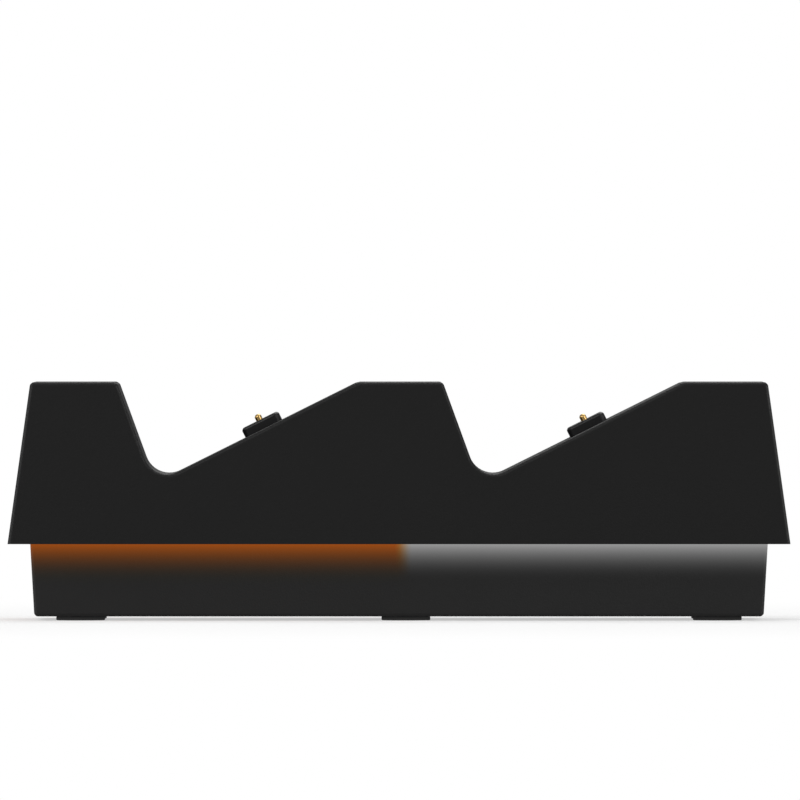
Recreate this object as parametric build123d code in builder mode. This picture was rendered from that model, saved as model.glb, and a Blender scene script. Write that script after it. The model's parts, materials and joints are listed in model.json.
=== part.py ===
from build123d import *

import os
from math import cos, radians, sin, tan

# A two-bay charging dock: a notched upper housing on a narrower base, with a ring of light under its lip.
# +X runs from the user's end to the supply inlet and +Z is up. The origin is on the table under the middle.
# All sizes are in millimetres and all angles in degrees.

# Upper housing
shell_length = 192.0
shell_width = 70.0
shell_height = 39.7
shell_draft = 7.9
shell_wall = 2.6
edge_break = 0.6

# Bays cut across the upper housing
front_block = 21.3
rear_block = 20.7
bay_mouth = 59.0
bay_stop_angle = 20.0
bay_slope_angle = 26.5
bay_root_radius = 6.0

# Base
base_height = 17.8
base_draft = 3.2
base_wall = 2.2
base_floor = 2.2
overhang = 5.5
rim_height = 6.0
rib_thickness = 1.6
rib_depth = 3.0
rib_pitch = 35.0
rib_count = 4

# Feet, stuck under the base
foot_diameter = 12.0
foot_thickness = 1.0
foot_inset_x = 11.3
foot_inset_y = 8.5
middle_offset = 1.7

# Posts of the base and the bosses of the upper housing that stand on them
post_wall = 1.2
post_seat = 2.5
boss_size = 6.6
boss_bite = 8.0
boss_spare = 1.0
web_thickness = 1.4
web_depth = 4.0
web_pitch = 40.0
web_count = 4
clamp_gap = 0.1

# Locating tongues at the user's end
tongue_size = 4.0
tongue_length = 7.0
tongue_fit = 0.05

# Housing screws at the inlet end
housing_shank = 3.0
housing_head = 5.6
housing_head_height = 2.0
head_fit = 0.3
shank_fit = 0.3
pilot_fit = 0.05

# Light ring, whose flange lies on the rim and holds the main board down
guide_recess = 1.2
guide_flange = 1.6
guide_reach = 1.5
guide_fit = 0.2
guide_bevel = 1.2
guide_gap = 0.4

# Main board
board_thickness = 1.6
board_fit = 0.3
board_post_fit = 0.4

# Parts on the main board
led_length = 3.2
led_depth = 1.0
led_height = 1.2
led_gap = 0.2
led_count = 4
led_end_space = 6.8
led_end_pitch = 24.0
chip_size = 5.0
chip_height = 1.6
chip_reach = 6.0
inductor_size = 7.0
inductor_height = 3.6
inductor_corner = 1.2
inductor_reach = 16.0
capacitor_length = 7.2
capacitor_width = 4.2
capacitor_height = 4.0
capacitor_reach = 12.0
header_depth = 4.5
header_width = 7.4
header_height = 5.0
header_reach = 23.0

# Contact blocks, set into the slope of each bay and staked on two pegs
contact_reach = 30.0
pedestal_length = 10.0
pedestal_width = 22.0
pedestal_rise = 2.4
pedestal_corner = 1.5
pedestal_edge = 0.5
window_fit = 0.2
flange_lip = 2.0
flange_thickness = 2.0
block_depth = 9.0
pocket_depth = 2.6
pocket_width = 15.0
peg_size = 3.0
peg_pitch = 30.0
peg_ear = 4.0
peg_fit = 0.1
peg_end = 0.8
contact_board_thickness = 1.6

# Sprung contact pins
pin_pitch = 10.0
pin_stem = 1.65
pin_shoulder = 2.2
pin_lip = 0.8
pin_foot = 0.4
pin_travel = 1.2
pin_rest = 0.3
pin_tip_bevel = 0.45
pin_fit = 0.05
stop_gap = 0.05

# Leaf springs under the pins
leaf_thickness = 0.3
leaf_width = 2.4
leaf_pad = 2.4
leaf_rise = 1.4
leaf_seat = 2.0

# Supply inlet in the rear end wall
jack_body = 10.0
jack_depth = 11.0
jack_pad = 1.5
jack_nose = 8.0
jack_nose_fit = 0.15
jack_bore = 5.9
jack_bore_depth = 9.0
jack_pin_diameter = 2.0
jack_pin_length = 8.0
jack_pin_bevel = 0.5
cradle_fit = 0.15
cradle_wall = 1.4
cradle_height = 5.0

# Flat ribbon leads
ribbon_width = 6.0
ribbon_thickness = 0.8
ribbon_drop = 8.0
ribbon_entry = 6.0
ribbon_exit = 6.5
ribbon_climb = 3.0
bend_share = 0.45

# Levels
floor_z = foot_thickness + base_floor
lip_z = foot_thickness + base_height
top_z = lip_z + shell_height
rim_top_z = lip_z + rim_height
guide_z = lip_z + guide_recess
guide_top_z = rim_top_z + guide_flange
joint_z = guide_top_z + clamp_gap
seat_z = joint_z - post_seat
board_top_z = rim_top_z
board_z = board_top_z - board_thickness
mid_floor_z = foot_thickness + base_floor / 2

# Plan sizes
shell_lean = tan(radians(shell_draft))
lip_width = shell_wall / cos(radians(shell_draft))
guide_inset = lip_width + guide_recess * shell_lean + guide_fit
shell_top_length = shell_length - 2 * shell_height * shell_lean
base_spread = base_height * tan(radians(base_draft))
rim_length = shell_length - 2 * overhang
rim_width = shell_width - 2 * overhang
base_length = rim_length - 2 * base_spread
base_width = rim_width - 2 * base_spread
inner_length = base_length - 2 * base_wall
inner_width = base_width - 2 * base_wall
rim_inner_length = rim_length - 2 * base_wall
rim_inner_width = rim_width - 2 * base_wall
flange_inner_length = rim_inner_length - 2 * guide_reach
flange_inner_width = rim_inner_width - 2 * guide_reach
board_length = rim_inner_length - 2 * board_fit
board_width = rim_inner_width - 2 * board_fit

# Places of the posts and feet
post_x = base_length / 2 - foot_inset_x
post_y = base_width / 2 - foot_inset_y
post_size = housing_head + 2 * head_fit + 2 * post_wall
post_clear = post_size / 2 + board_post_fit
tongue_places = [(-post_x, -post_y), (-post_x, post_y)]
screw_places = [(post_x, -post_y), (post_x, post_y)]
post_places = tongue_places + screw_places
foot_x = {"front": -post_x, "middle": middle_offset, "rear": post_x}
foot_y = {"left": post_y, "right": -post_y}

# Bay geometry: a steep stop on the user's side and a long slope rising towards the inlet end
stop_lean = tan(radians(bay_stop_angle))
slope_run = 1 / tan(radians(bay_slope_angle))
bay_depth = bay_mouth / (stop_lean + slope_run)
bay_x = {
    "front": front_block - shell_top_length / 2,
    "rear": shell_top_length / 2 - rear_block - bay_mouth,
}
slope_dir = Vector(cos(radians(bay_slope_angle)), 0, sin(radians(bay_slope_angle)))
slope_normal = Vector(-slope_dir.Z, 0, slope_dir.X)

# Levels in a contact block, measured outwards from the slope's surface
flange_back = -shell_wall - flange_thickness
board_face = -block_depth
contact_board_back = board_face - contact_board_thickness
pocket_top = board_face + pocket_depth
lip_level = pedestal_rise - pin_lip
shoulder_top = lip_level - stop_gap
pin_bottom = pocket_top - pin_foot
pin_tip = pedestal_rise + pin_rest + pin_travel
flange_length = pedestal_length + 2 * flange_lip
flange_width = peg_pitch + 2 * peg_ear
peg_places = [(0, -peg_pitch / 2), (0, peg_pitch / 2)]
pin_places = {"left": (0, pin_pitch / 2), "right": (0, -pin_pitch / 2)}

# Inlet position: its body stands on a pad on the floor, close behind the rear end wall
jack_z = floor_z + jack_pad + jack_body / 2
jack_front_x = base_length / 2
jack_body_x = jack_front_x - base_wall
jack_back_x = jack_body_x - jack_depth
plug_x = jack_back_x - 2 * ribbon_exit - ribbon_climb
plug_z = board_z - header_height / 2

os.makedirs("parts", exist_ok=True)


def save(builder, name):
    """Label a finished piece and write it to its own file."""
    builder.part.label = name
    export_step(builder.part, f"parts/{name}.step")


def bay_outline(mouth_x, skin):
    """Side profile of a bay, open well above the roof and grown by the skin that surrounds it."""
    root = (mouth_x + bay_depth * stop_lean, top_z - bay_depth)
    stop_end = (mouth_x - bay_depth * stop_lean, top_z + bay_depth)
    slope_end = (root[0] + 2 * bay_depth * slope_run, top_z + bay_depth)
    with BuildSketch(Plane.XZ) as outline:
        with BuildLine():
            valley = FilletPolyline(stop_end, root, slope_end, radius=bay_root_radius)
            Line(valley @ 1, valley @ 0)
        make_face()
        if skin > 0:
            offset(amount=skin, kind=Kind.INTERSECTION)
    return outline.sketch


def contact_plane(mouth_x, level):
    """Plane along a bay's slope through the middle of its contacts, at a level outwards of the slope."""
    root = Vector(mouth_x + bay_depth * stop_lean, 0, top_z - bay_depth)
    centre = root + slope_dir * contact_reach + slope_normal * level
    return Plane(origin=centre, x_dir=slope_dir, z_dir=slope_normal)


def ribbon_outline(points):
    """Side view of a flat lead along a route of straight runs joined by the largest easy bends."""
    radii = []
    for before, corner, after in zip(points, points[1:], points[2:]):
        run_in = Vector(*corner) - Vector(*before)
        run_out = Vector(*after) - Vector(*corner)
        half_turn = radians(run_in.get_angle(run_out)) / 2
        radii.append(bend_share * min(run_in.length, run_out.length) / tan(half_turn))
    with BuildSketch(Plane.XZ) as outline:
        with BuildLine():
            FilletPolyline(*points, radius=radii)
        trace(line_width=ribbon_thickness)
    return outline.sketch


# Hollow of the upper housing: what it leaves standing are the walls, bosses, webs and pegs
with BuildPart() as hollow:
    with BuildSketch(Plane.XY.offset(lip_z)):
        Rectangle(shell_length - 2 * lip_width, shell_width - 2 * lip_width)
    extrude(amount=shell_height - shell_wall, taper=shell_draft)
    for mouth_x in bay_x.values():
        extrude(bay_outline(mouth_x, shell_wall), amount=shell_width, both=True, mode=Mode.SUBTRACT)
    with BuildSketch(Plane.XY.offset(joint_z)):
        with Locations(*post_places):
            Rectangle(boss_size, boss_size)
        for x, y in post_places:
            to_end = Align.MIN if x > 0 else Align.MAX
            to_side = Align.MIN if y > 0 else Align.MAX
            with Locations((x, y)):
                Rectangle(web_thickness, shell_width, align=(Align.CENTER, to_side))
                Rectangle(shell_length, web_thickness, align=(to_end, Align.CENTER))
        with Locations((middle_offset, 0)):
            with GridLocations(web_pitch, 0, web_count, 1):
                Rectangle(web_thickness, shell_width)
                Rectangle(web_thickness, flange_inner_width - 2 * web_depth, mode=Mode.SUBTRACT)
    extrude(amount=shell_height, mode=Mode.SUBTRACT)
    for mouth_x in bay_x.values():
        with BuildSketch(contact_plane(mouth_x, contact_board_back - peg_end)):
            with Locations(*peg_places):
                Rectangle(peg_size, peg_size)
        extrude(amount=-contact_board_back + peg_end, mode=Mode.SUBTRACT)

# Upper housing: one moulding with two bays, a window in each slope and bosses inside
with BuildPart() as top_shell:
    with BuildSketch(Plane.XY.offset(lip_z)):
        Rectangle(shell_length, shell_width)
    extrude(amount=shell_height, taper=shell_draft)
    for mouth_x in bay_x.values():
        extrude(bay_outline(mouth_x, 0), amount=shell_width, both=True, mode=Mode.SUBTRACT)
    lip_edges = top_shell.edges().group_by(Axis.Z)[0]
    root_seams = top_shell.edges().filter_by(Axis.Y).filter_by_position(
        Axis.Z, lip_z + edge_break, top_z - edge_break
    )
    chamfer(top_shell.edges() - lip_edges - root_seams, edge_break)
    add(hollow.part, mode=Mode.SUBTRACT)
    with BuildSketch(Plane.XY.offset(joint_z)):
        with Locations(*screw_places):
            Circle(housing_shank / 2 + pilot_fit)
    extrude(amount=boss_bite + boss_spare, mode=Mode.SUBTRACT)
    with BuildSketch(Plane.XY.offset(joint_z)):
        with Locations(*tongue_places):
            Rectangle(tongue_size + 2 * tongue_fit, tongue_size + 2 * tongue_fit)
    extrude(amount=tongue_length + boss_spare, mode=Mode.SUBTRACT)
    for mouth_x in bay_x.values():
        with BuildSketch(contact_plane(mouth_x, -shell_wall)):
            RectangleRounded(
                pedestal_length + 2 * window_fit,
                pedestal_width + 2 * window_fit,
                pedestal_corner + window_fit,
            )
        extrude(amount=2 * shell_wall, mode=Mode.SUBTRACT)
save(top_shell, "top_shell")

# Base: a tub with an upright rim inside the shell's lip, posts and a cradle for the inlet
with BuildPart() as base_tub:
    with BuildSketch(Plane.XY.offset(foot_thickness)):
        Rectangle(base_length, base_width)
    extrude(amount=base_height, taper=-base_draft)
    chamfer(base_tub.edges() - base_tub.edges().group_by(Axis.Z)[-1], edge_break)
    with BuildSketch(Plane.XY.offset(lip_z)):
        Rectangle(rim_length, rim_width)
    extrude(amount=rim_height)
    with BuildSketch(Plane.XY.offset(floor_z)):
        Rectangle(inner_length, inner_width)
    extrude(amount=base_height - base_floor, taper=-base_draft, mode=Mode.SUBTRACT)
    with BuildSketch(Plane.XY.offset(lip_z)):
        Rectangle(rim_inner_length, rim_inner_width)
    extrude(amount=rim_height, mode=Mode.SUBTRACT)
    with BuildSketch(Plane.XY.offset(mid_floor_z)):
        with Locations(*post_places):
            Rectangle(post_size, post_size)
    extrude(amount=joint_z - mid_floor_z)
    with BuildSketch(Plane.XY.offset(mid_floor_z)):
        with Locations(*tongue_places):
            Rectangle(tongue_size, tongue_size)
    extrude(amount=joint_z + tongue_length - mid_floor_z)
    with BuildSketch(Plane.XY.offset(mid_floor_z)):
        with GridLocations(rib_pitch, 0, rib_count, 1):
            Rectangle(rib_thickness, base_width - base_wall)
            Rectangle(rib_thickness, rim_inner_width - 2 * rib_depth, mode=Mode.SUBTRACT)
    extrude(amount=board_z - mid_floor_z)
    with BuildSketch(Plane.XY.offset(mid_floor_z)):
        with Locations((jack_body_x, 0)):
            Rectangle(jack_depth, jack_body, align=(Align.MAX, Align.CENTER))
    extrude(amount=floor_z - mid_floor_z + jack_pad)
    with BuildSketch(Plane.XY.offset(mid_floor_z)):
        with Locations((jack_body_x, 0)):
            Rectangle(
                jack_depth + cradle_fit + cradle_wall,
                jack_body + 2 * cradle_fit + 2 * cradle_wall,
                align=(Align.MAX, Align.CENTER),
            )
            Rectangle(
                jack_depth + cradle_fit,
                jack_body + 2 * cradle_fit,
                align=(Align.MAX, Align.CENTER),
                mode=Mode.SUBTRACT,
            )
    extrude(amount=floor_z - mid_floor_z + cradle_height)
    with BuildSketch():
        with Locations(*screw_places):
            Circle(housing_head / 2 + head_fit)
    extrude(amount=seat_z, mode=Mode.SUBTRACT)
    with BuildSketch():
        with Locations(*screw_places):
            Circle(housing_shank / 2 + shank_fit)
    extrude(amount=joint_z, mode=Mode.SUBTRACT)
    with BuildSketch(Plane.YZ.offset(jack_body_x)):
        with Locations((0, jack_z)):
            Circle(jack_nose / 2 + jack_nose_fit)
    extrude(amount=2 * base_wall, mode=Mode.SUBTRACT)
save(base_tub, "base_tub")

# Light ring: one half glows amber for the user's end, the other white for the inlet end
for end, side, keep in (("front", -1, Keep.BOTTOM), ("rear", 1, Keep.TOP)):
    with BuildPart() as light_guide:
        with BuildSketch(Plane.XY.offset(guide_z)):
            Rectangle(shell_length - 2 * guide_inset, shell_width - 2 * guide_inset)
        extrude(amount=guide_top_z - guide_z, taper=shell_draft)
        chamfer(light_guide.edges().group_by(Axis.Z)[-1], guide_bevel)
        with BuildSketch(Plane.XY.offset(guide_z)):
            Rectangle(rim_length + 2 * guide_fit, rim_width + 2 * guide_fit)
        extrude(amount=rim_top_z - guide_z, mode=Mode.SUBTRACT)
        with BuildSketch(Plane.XY.offset(rim_top_z)):
            Rectangle(flange_inner_length, flange_inner_width)
        extrude(amount=guide_flange, mode=Mode.SUBTRACT)
        split(bisect_by=Plane.YZ.offset(middle_offset + side * guide_gap / 2), keep=keep)
    save(light_guide, f"light_guide_{end}")

# Main board, notched at its corners round the posts and held down by the light ring's flange
with BuildPart() as main_board:
    with BuildSketch(Plane.XY.offset(board_z)):
        Rectangle(board_length, 2 * (post_y - post_clear))
        Rectangle(2 * (post_x - post_clear), board_width)
    extrude(amount=board_thickness)
save(main_board, "main_board")

# Side-view lamps along the edge of the board, aimed at the light ring
led_pitch = (flange_inner_length / 2 - led_end_space) / led_count
led_x = flange_inner_length / 2 - led_gap - led_depth / 2
led_y = flange_inner_width / 2 - led_gap - led_depth / 2
for end, side in (("front", -1), ("rear", 1)):
    led_places = []
    for hand in (1, -1):
        led_places.append((side * led_x, hand * led_end_pitch / 2, 90))
        for step in range(led_count):
            led_places.append((middle_offset + side * led_pitch * (step + 0.5), hand * led_y, 0))
    for number, (x, y, turn) in enumerate(led_places, start=1):
        with BuildPart() as status_led:
            with BuildSketch(Plane.XY.offset(board_top_z)):
                with Locations((x, y)):
                    Rectangle(led_length, led_depth, rotation=turn)
            extrude(amount=led_height)
        save(status_led, f"status_led_{end}_{number}")

# Charging circuit of each bay, with the plug of its contact ribbon
for end, mouth_x in bay_x.items():
    contact_x = contact_plane(mouth_x, 0).origin.X
    with BuildPart() as charger_chip:
        with BuildSketch(Plane.XY.offset(board_top_z)):
            with Locations((contact_x - chip_reach, 0)):
                Rectangle(chip_size, chip_size)
        extrude(amount=chip_height)
    save(charger_chip, f"charger_chip_{end}")

    with BuildPart() as inductor:
        with BuildSketch(Plane.XY.offset(board_top_z)):
            with Locations((contact_x - inductor_reach, 0)):
                Rectangle(inductor_size, inductor_size)
        extrude(amount=inductor_height)
        chamfer(inductor.edges().filter_by(Axis.Z), inductor_corner)
    save(inductor, f"inductor_{end}")

    with BuildPart() as contact_header:
        with BuildSketch(Plane.XY.offset(board_top_z)):
            with Locations((contact_x + header_reach, 0)):
                Rectangle(header_depth, header_width, align=(Align.MIN, Align.CENTER))
        extrude(amount=header_height)
    save(contact_header, f"contact_header_{end}")

# Smoothing capacitor of the supply, beside its plug
with BuildPart() as smoothing_capacitor:
    with BuildSketch(Plane.XY.offset(board_top_z)):
        with Locations((plug_x, capacitor_reach)):
            Rectangle(capacitor_length, capacitor_width)
    extrude(amount=capacitor_height)
save(smoothing_capacitor, "smoothing_capacitor")

# Contact blocks with their boards, pins, leaf springs and ribbons
for end, mouth_x in bay_x.items():
    with BuildPart() as contact_block:
        with BuildSketch(contact_plane(mouth_x, board_face)):
            RectangleRounded(pedestal_length, pedestal_width, pedestal_corner)
        extrude(amount=pedestal_rise - board_face)
        top_face = contact_block.faces().sort_by(Axis((0, 0, 0), slope_normal))[-1]
        chamfer(top_face.edges(), pedestal_edge)
        with BuildSketch(contact_plane(mouth_x, flange_back)):
            Rectangle(flange_length, flange_width)
            with Locations(*peg_places):
                Rectangle(peg_size + 2 * peg_fit, peg_size + 2 * peg_fit, mode=Mode.SUBTRACT)
        extrude(amount=flange_thickness)
        with BuildSketch(contact_plane(mouth_x, board_face)):
            Rectangle(flange_length, pocket_width)
        extrude(amount=pocket_depth, mode=Mode.SUBTRACT)
        with BuildSketch(contact_plane(mouth_x, pocket_top)):
            with Locations(*pin_places.values()):
                Rectangle(pin_shoulder + 2 * pin_fit, pin_shoulder + 2 * pin_fit)
        extrude(amount=lip_level - pocket_top, mode=Mode.SUBTRACT)
        with BuildSketch(contact_plane(mouth_x, lip_level)):
            with Locations(*pin_places.values()):
                Circle(pin_stem / 2 + pin_fit)
        extrude(amount=pedestal_rise - lip_level, mode=Mode.SUBTRACT)
    save(contact_block, f"contact_block_{end}")

    with BuildPart() as contact_board:
        with BuildSketch(contact_plane(mouth_x, contact_board_back)):
            Rectangle(flange_length, flange_width)
            with Locations(*peg_places):
                Rectangle(peg_size + 2 * peg_fit, peg_size + 2 * peg_fit, mode=Mode.SUBTRACT)
        extrude(amount=contact_board_thickness)
    save(contact_board, f"contact_board_{end}")

    for hand, place in pin_places.items():
        with BuildPart() as contact_pin:
            with BuildSketch(contact_plane(mouth_x, pin_bottom)):
                with Locations(place):
                    Rectangle(pin_shoulder, pin_shoulder)
            extrude(amount=shoulder_top - pin_bottom)
            with BuildSketch(contact_plane(mouth_x, shoulder_top)):
                with Locations(place):
                    Circle(pin_stem / 2)
            extrude(amount=pin_tip - shoulder_top)
            tip_face = contact_pin.faces().sort_by(Axis((0, 0, 0), slope_normal))[-1]
            chamfer(tip_face.edges(), pin_tip_bevel)
        save(contact_pin, f"contact_pin_{end}_{hand}")

        seat = contact_plane(mouth_x, board_face).from_local_coords((0, place[1], 0))
        leaf_top = pin_bottom - stop_gap - board_face
        with BuildPart() as leaf_spring:
            with BuildSketch(Plane(origin=seat, x_dir=slope_dir, z_dir=(0, -1, 0))):
                with BuildLine():
                    Polyline(
                        (leaf_pad / 2 + leaf_rise + leaf_seat, 0),
                        (leaf_pad / 2 + leaf_rise, 0),
                        (leaf_pad / 2, leaf_top - leaf_thickness),
                        (-leaf_pad / 2, leaf_top - leaf_thickness),
                        (-leaf_pad / 2, leaf_top),
                        (leaf_pad / 2 + leaf_thickness / 2, leaf_top),
                        (leaf_pad / 2 + leaf_rise + leaf_thickness / 2, leaf_thickness),
                        (leaf_pad / 2 + leaf_rise + leaf_seat, leaf_thickness),
                        close=True,
                    )
                make_face()
            extrude(amount=leaf_width / 2, both=True)
        save(leaf_spring, f"leaf_spring_{end}_{hand}")

    back = contact_plane(mouth_x, contact_board_back).origin
    drop = contact_plane(mouth_x, contact_board_back - ribbon_drop).origin
    header_x = contact_plane(mouth_x, 0).origin.X + header_reach
    header_z = board_top_z + header_height / 2
    route = [(back.X, back.Z), (drop.X, drop.Z), (header_x - ribbon_entry, header_z), (header_x, header_z)]
    with BuildPart() as contact_ribbon:
        extrude(ribbon_outline(route), amount=ribbon_width / 2, both=True)
    save(contact_ribbon, f"contact_ribbon_{end}")

# Housing screws: up through the rear posts of the base into the bosses of the upper housing
with BuildPart() as housing_screws:
    with BuildSketch(Plane.XY.offset(seat_z)):
        with Locations(*screw_places):
            Circle(housing_head / 2)
    extrude(amount=-housing_head_height)
    with BuildSketch(Plane.XY.offset(seat_z)):
        with Locations(*screw_places):
            Circle(housing_shank / 2)
    extrude(amount=post_seat + boss_bite)
save(housing_screws, "housing_screws")

# Rubber feet, the rear pair over the housing screws
for row, x in foot_x.items():
    for hand, y in foot_y.items():
        with BuildPart() as rubber_foot:
            with BuildSketch():
                with Locations((x, y)):
                    Circle(foot_diameter / 2)
            extrude(amount=foot_thickness)
        save(rubber_foot, f"foot_{row}_{hand}")

# Supply inlet: a block with a round nose in the end wall and a blind bore round its centre pin
with BuildPart() as power_jack:
    with BuildSketch(Plane.YZ.offset(jack_back_x)):
        with Locations((0, jack_z)):
            Rectangle(jack_body, jack_body)
    extrude(amount=jack_depth)
    with BuildSketch(Plane.YZ.offset(jack_body_x)):
        with Locations((0, jack_z)):
            Circle(jack_nose / 2)
    extrude(amount=jack_front_x - jack_body_x)
    with BuildSketch(Plane.YZ.offset(jack_front_x)):
        with Locations((0, jack_z)):
            Circle(jack_bore / 2)
    extrude(amount=-jack_bore_depth, mode=Mode.SUBTRACT)
save(power_jack, "power_jack")

with BuildPart() as jack_pin:
    with BuildSketch(Plane.YZ.offset(jack_front_x - jack_bore_depth)):
        with Locations((0, jack_z)):
            Circle(jack_pin_diameter / 2)
    extrude(amount=jack_pin_length)
    chamfer(jack_pin.faces().sort_by(Axis.X)[-1].edges(), jack_pin_bevel)
save(jack_pin, "jack_pin")

# Supply ribbon from the back of the inlet up to its plug under the board
with BuildPart() as power_header:
    with BuildSketch(Plane.XY.offset(board_z)):
        with Locations((plug_x, 0)):
            Rectangle(header_depth, header_width, align=(Align.MAX, Align.CENTER))
    extrude(amount=-header_height)
save(power_header, "power_header")

supply_route = [
    (jack_back_x, jack_z),
    (jack_back_x - ribbon_exit, jack_z),
    (plug_x + ribbon_exit, plug_z),
    (plug_x, plug_z),
]
with BuildPart() as supply_ribbon:
    extrude(ribbon_outline(supply_route), amount=ribbon_width / 2, both=True)
save(supply_ribbon, "supply_ribbon")
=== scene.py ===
import json
from math import copysign, cos, pi, radians, sin

import bmesh
import bpy
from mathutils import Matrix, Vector


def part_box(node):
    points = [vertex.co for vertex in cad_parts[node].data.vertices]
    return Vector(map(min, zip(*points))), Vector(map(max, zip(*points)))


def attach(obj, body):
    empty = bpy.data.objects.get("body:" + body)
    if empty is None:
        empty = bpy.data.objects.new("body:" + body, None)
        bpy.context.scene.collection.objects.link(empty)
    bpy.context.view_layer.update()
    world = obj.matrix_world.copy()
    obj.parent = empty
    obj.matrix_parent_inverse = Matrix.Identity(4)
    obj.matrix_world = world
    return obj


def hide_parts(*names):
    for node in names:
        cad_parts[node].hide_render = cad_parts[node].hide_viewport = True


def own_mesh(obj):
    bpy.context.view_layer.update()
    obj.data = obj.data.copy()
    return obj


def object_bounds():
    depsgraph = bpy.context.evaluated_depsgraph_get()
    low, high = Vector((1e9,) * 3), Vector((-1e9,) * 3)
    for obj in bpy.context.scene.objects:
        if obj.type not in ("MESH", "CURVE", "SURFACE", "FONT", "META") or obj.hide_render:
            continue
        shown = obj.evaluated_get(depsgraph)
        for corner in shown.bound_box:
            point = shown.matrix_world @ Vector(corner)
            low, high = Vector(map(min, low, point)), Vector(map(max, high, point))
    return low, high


# Looks of a two-bay charging dock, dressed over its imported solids.
# Lengths are in metres, in the frame of the solids. A size in millimetres is multiplied by MM.

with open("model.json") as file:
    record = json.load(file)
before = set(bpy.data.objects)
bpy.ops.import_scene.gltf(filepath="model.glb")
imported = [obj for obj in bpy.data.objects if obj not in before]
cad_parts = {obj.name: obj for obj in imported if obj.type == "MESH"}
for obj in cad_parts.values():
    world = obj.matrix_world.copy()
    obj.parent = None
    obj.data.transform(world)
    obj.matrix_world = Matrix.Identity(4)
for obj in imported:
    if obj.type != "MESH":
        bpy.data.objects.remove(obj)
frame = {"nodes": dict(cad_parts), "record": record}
cad_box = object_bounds()
nodes = frame["nodes"]
record = frame["record"]
mounts = {mount["name"]: mount for mount in record["mounts"]}
slot_of = {entry["node"]: entry["material_slot"] for entry in record["subparts"]}
body_of = {node: body for body, members in record["behaviour"]["bodies"].items() for node in members}

MM = 0.001
ENDS = ("front", "rear")
HANDS = ("left", "right")
FOOT_ROWS = ("front", "middle", "rear")
LAMPS_PER_END = 10
ALONG = Vector((1, 0, 0))
ACROSS = Vector((0, 1, 0))
UP = Vector((0, 0, 1))

# Places read from the solids
lip_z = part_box("top_shell")[0].z
split_x = (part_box("light_guide_front")[1].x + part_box("light_guide_rear")[0].x) / 2
near_y = cad_box[0].y
rim_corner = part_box("base_tub")[1]

# Camera: far off, as the weak perspective asks, a little above the dock, at the scale of the near face
PICTURE_SIDE_PX = 800
NEAR_FACE_PX_PER_MM = 4.079
CAMERA_DISTANCE = 7000 * MM
CAMERA_HEIGHT = 80 * MM
AIM_HEIGHT = 54.15 * MM
CAMERA_ASIDE = 0.25 * MM
SENSOR_WIDTH_MM = 36

# Painted light on the base: the ring's light under the lip painted on as emission, its colours between amber
# and white by place, and painted amber light in the plastic's colour near the lip
GLOW_REACH = 10 * MM
GLOW_SKIN = 1.3 * MM
GLOW_BLEND_FRONT = 3.0 * MM
GLOW_BLEND_REAR = 1.6 * MM
GLOW_MIXES = {0.25: "#FFA84E", 0.7: "#FFE1BF"}
GLOW_POWER = 3.05
GLOW_LEVEL = 0.297
AMBER_GLOW = "#FF7800"
AMBER_GLOW_LOW = "#FF9A1C"
WHITE_GLOW = "#FFFFFF"
PAINTED_AMBER_LIGHT_ON_PLASTIC = "#2A2A16"

# Studio: the floor's size, its fade into white, and the room's levels
FLOOR_HALF_SIDE = 20
FLOOR_GAP = 0.02 * MM
FLOOR_FADE_START = 100 * MM
FLOOR_FADE_END = 450 * MM
FLOOR_WHITE_NEAR = 0.5
FLOOR_MIRRORED = 0.15
FLOOR_COLOUR = "#FAFAFA"
FLOOR_COLOUR_MIRRORED = "#9C9C9C"
FLOOR_BOUNCE = 0.6
ROOM_LIGHT = 0.3
ROOM_MIRRORED = 0.22
STUDIO_WHITE = "#FFFFFF"
FULL_WHITE = 1.0

# Softboxes: place and side in metres, power in watts, all turned to one point of the dock
LIT_POINT = (0, 0, 0.03)
SOFTBOXES = {
    "key_softbox": ((-0.8, -0.9, 1.0), 0.9, 8.0),
    "fill_softbox": ((1.0, -0.8, 0.8), 0.9, 4.0),
    "rim_softbox": ((0.1, 0.9, 1.1), 0.9, 8.0),
    "left_softbox": ((-1.2, -0.1, 0.35), 0.5, 3.0),
    "right_softbox": ((1.2, -0.1, 0.35), 0.5, 3.0),
}

# Surfaces: pattern sizes in millimetres, and a wave texture's repeat at scale 1
TONE_DRIFT_MM = 22
DRIFT_DETAIL = 3.0
GRAIN_DETAIL = 4.0
GRAIN_HARSHNESS = 0.62
GLOSS_SWING = 0.07
PLASTIC_SHINE = 0.36
STREAK_DETAIL = 3.0
WAVE_PERIOD = pi / 10

# Lit plastics: the colours of the lamps behind them, their clouds and their frosted skin
AMBER_LIGHT = "#FF8A1E"
WHITE_LIGHT = "#FFFFFF"
CLOUD_DETAIL = 2.0
FROST_MM = 0.2
FROST_DEPTH_MM = 0.01
FROST_RELIEF = 0.6

# Circuit boards: woven glass cloth, runs of traces in patches, and vias
MASK_GREEN = "#0E4526"
MASK_GREEN_OVER_THREAD = "#114C2A"
MASK_GREEN_OVER_COPPER = "#1F6A3E"
VIA_TIN = "#A9AD92"
MASK_ROUGHNESS = 0.3
CLOTH_THREAD_MM = 0.6
TRACE_WIDTH_MM = 0.25
TRACE_RUN_MM = 14.0
TRACE_PITCH_MM = 1.3
TRACE_SHIFT = 0.37
TRACE_SHIFT_ROWS = 3
TRACE_SQUEEZE = 0.45
TRACE_SQUEEZE_ROWS = 5
TRACE_PATCH_MM = 18
TRACE_SHARE = 0.5
VIA_PITCH_MM = 8.0
VIA_RADIUS_MM = 0.35

# Vinyl of the ribbon leads, with painted shade in its grooves
VINYL_PAINTED_SHADE_IN_GROOVE = "#7C7D7E"
VINYL_ON_CORE = "#939495"
VINYL_ROUGHNESS = 0.4
RIBBON_CORE_MM = 1.5

# Numbers of a Mix node's sockets, because their names repeat
MIX_SHARE = 0
MIX_NUMBER_A = 2
MIX_NUMBER_B = 3
MIX_COLOUR_A = 6
MIX_COLOUR_B = 7
MIXED_NUMBER = 0
MIXED_COLOUR = 2

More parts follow.
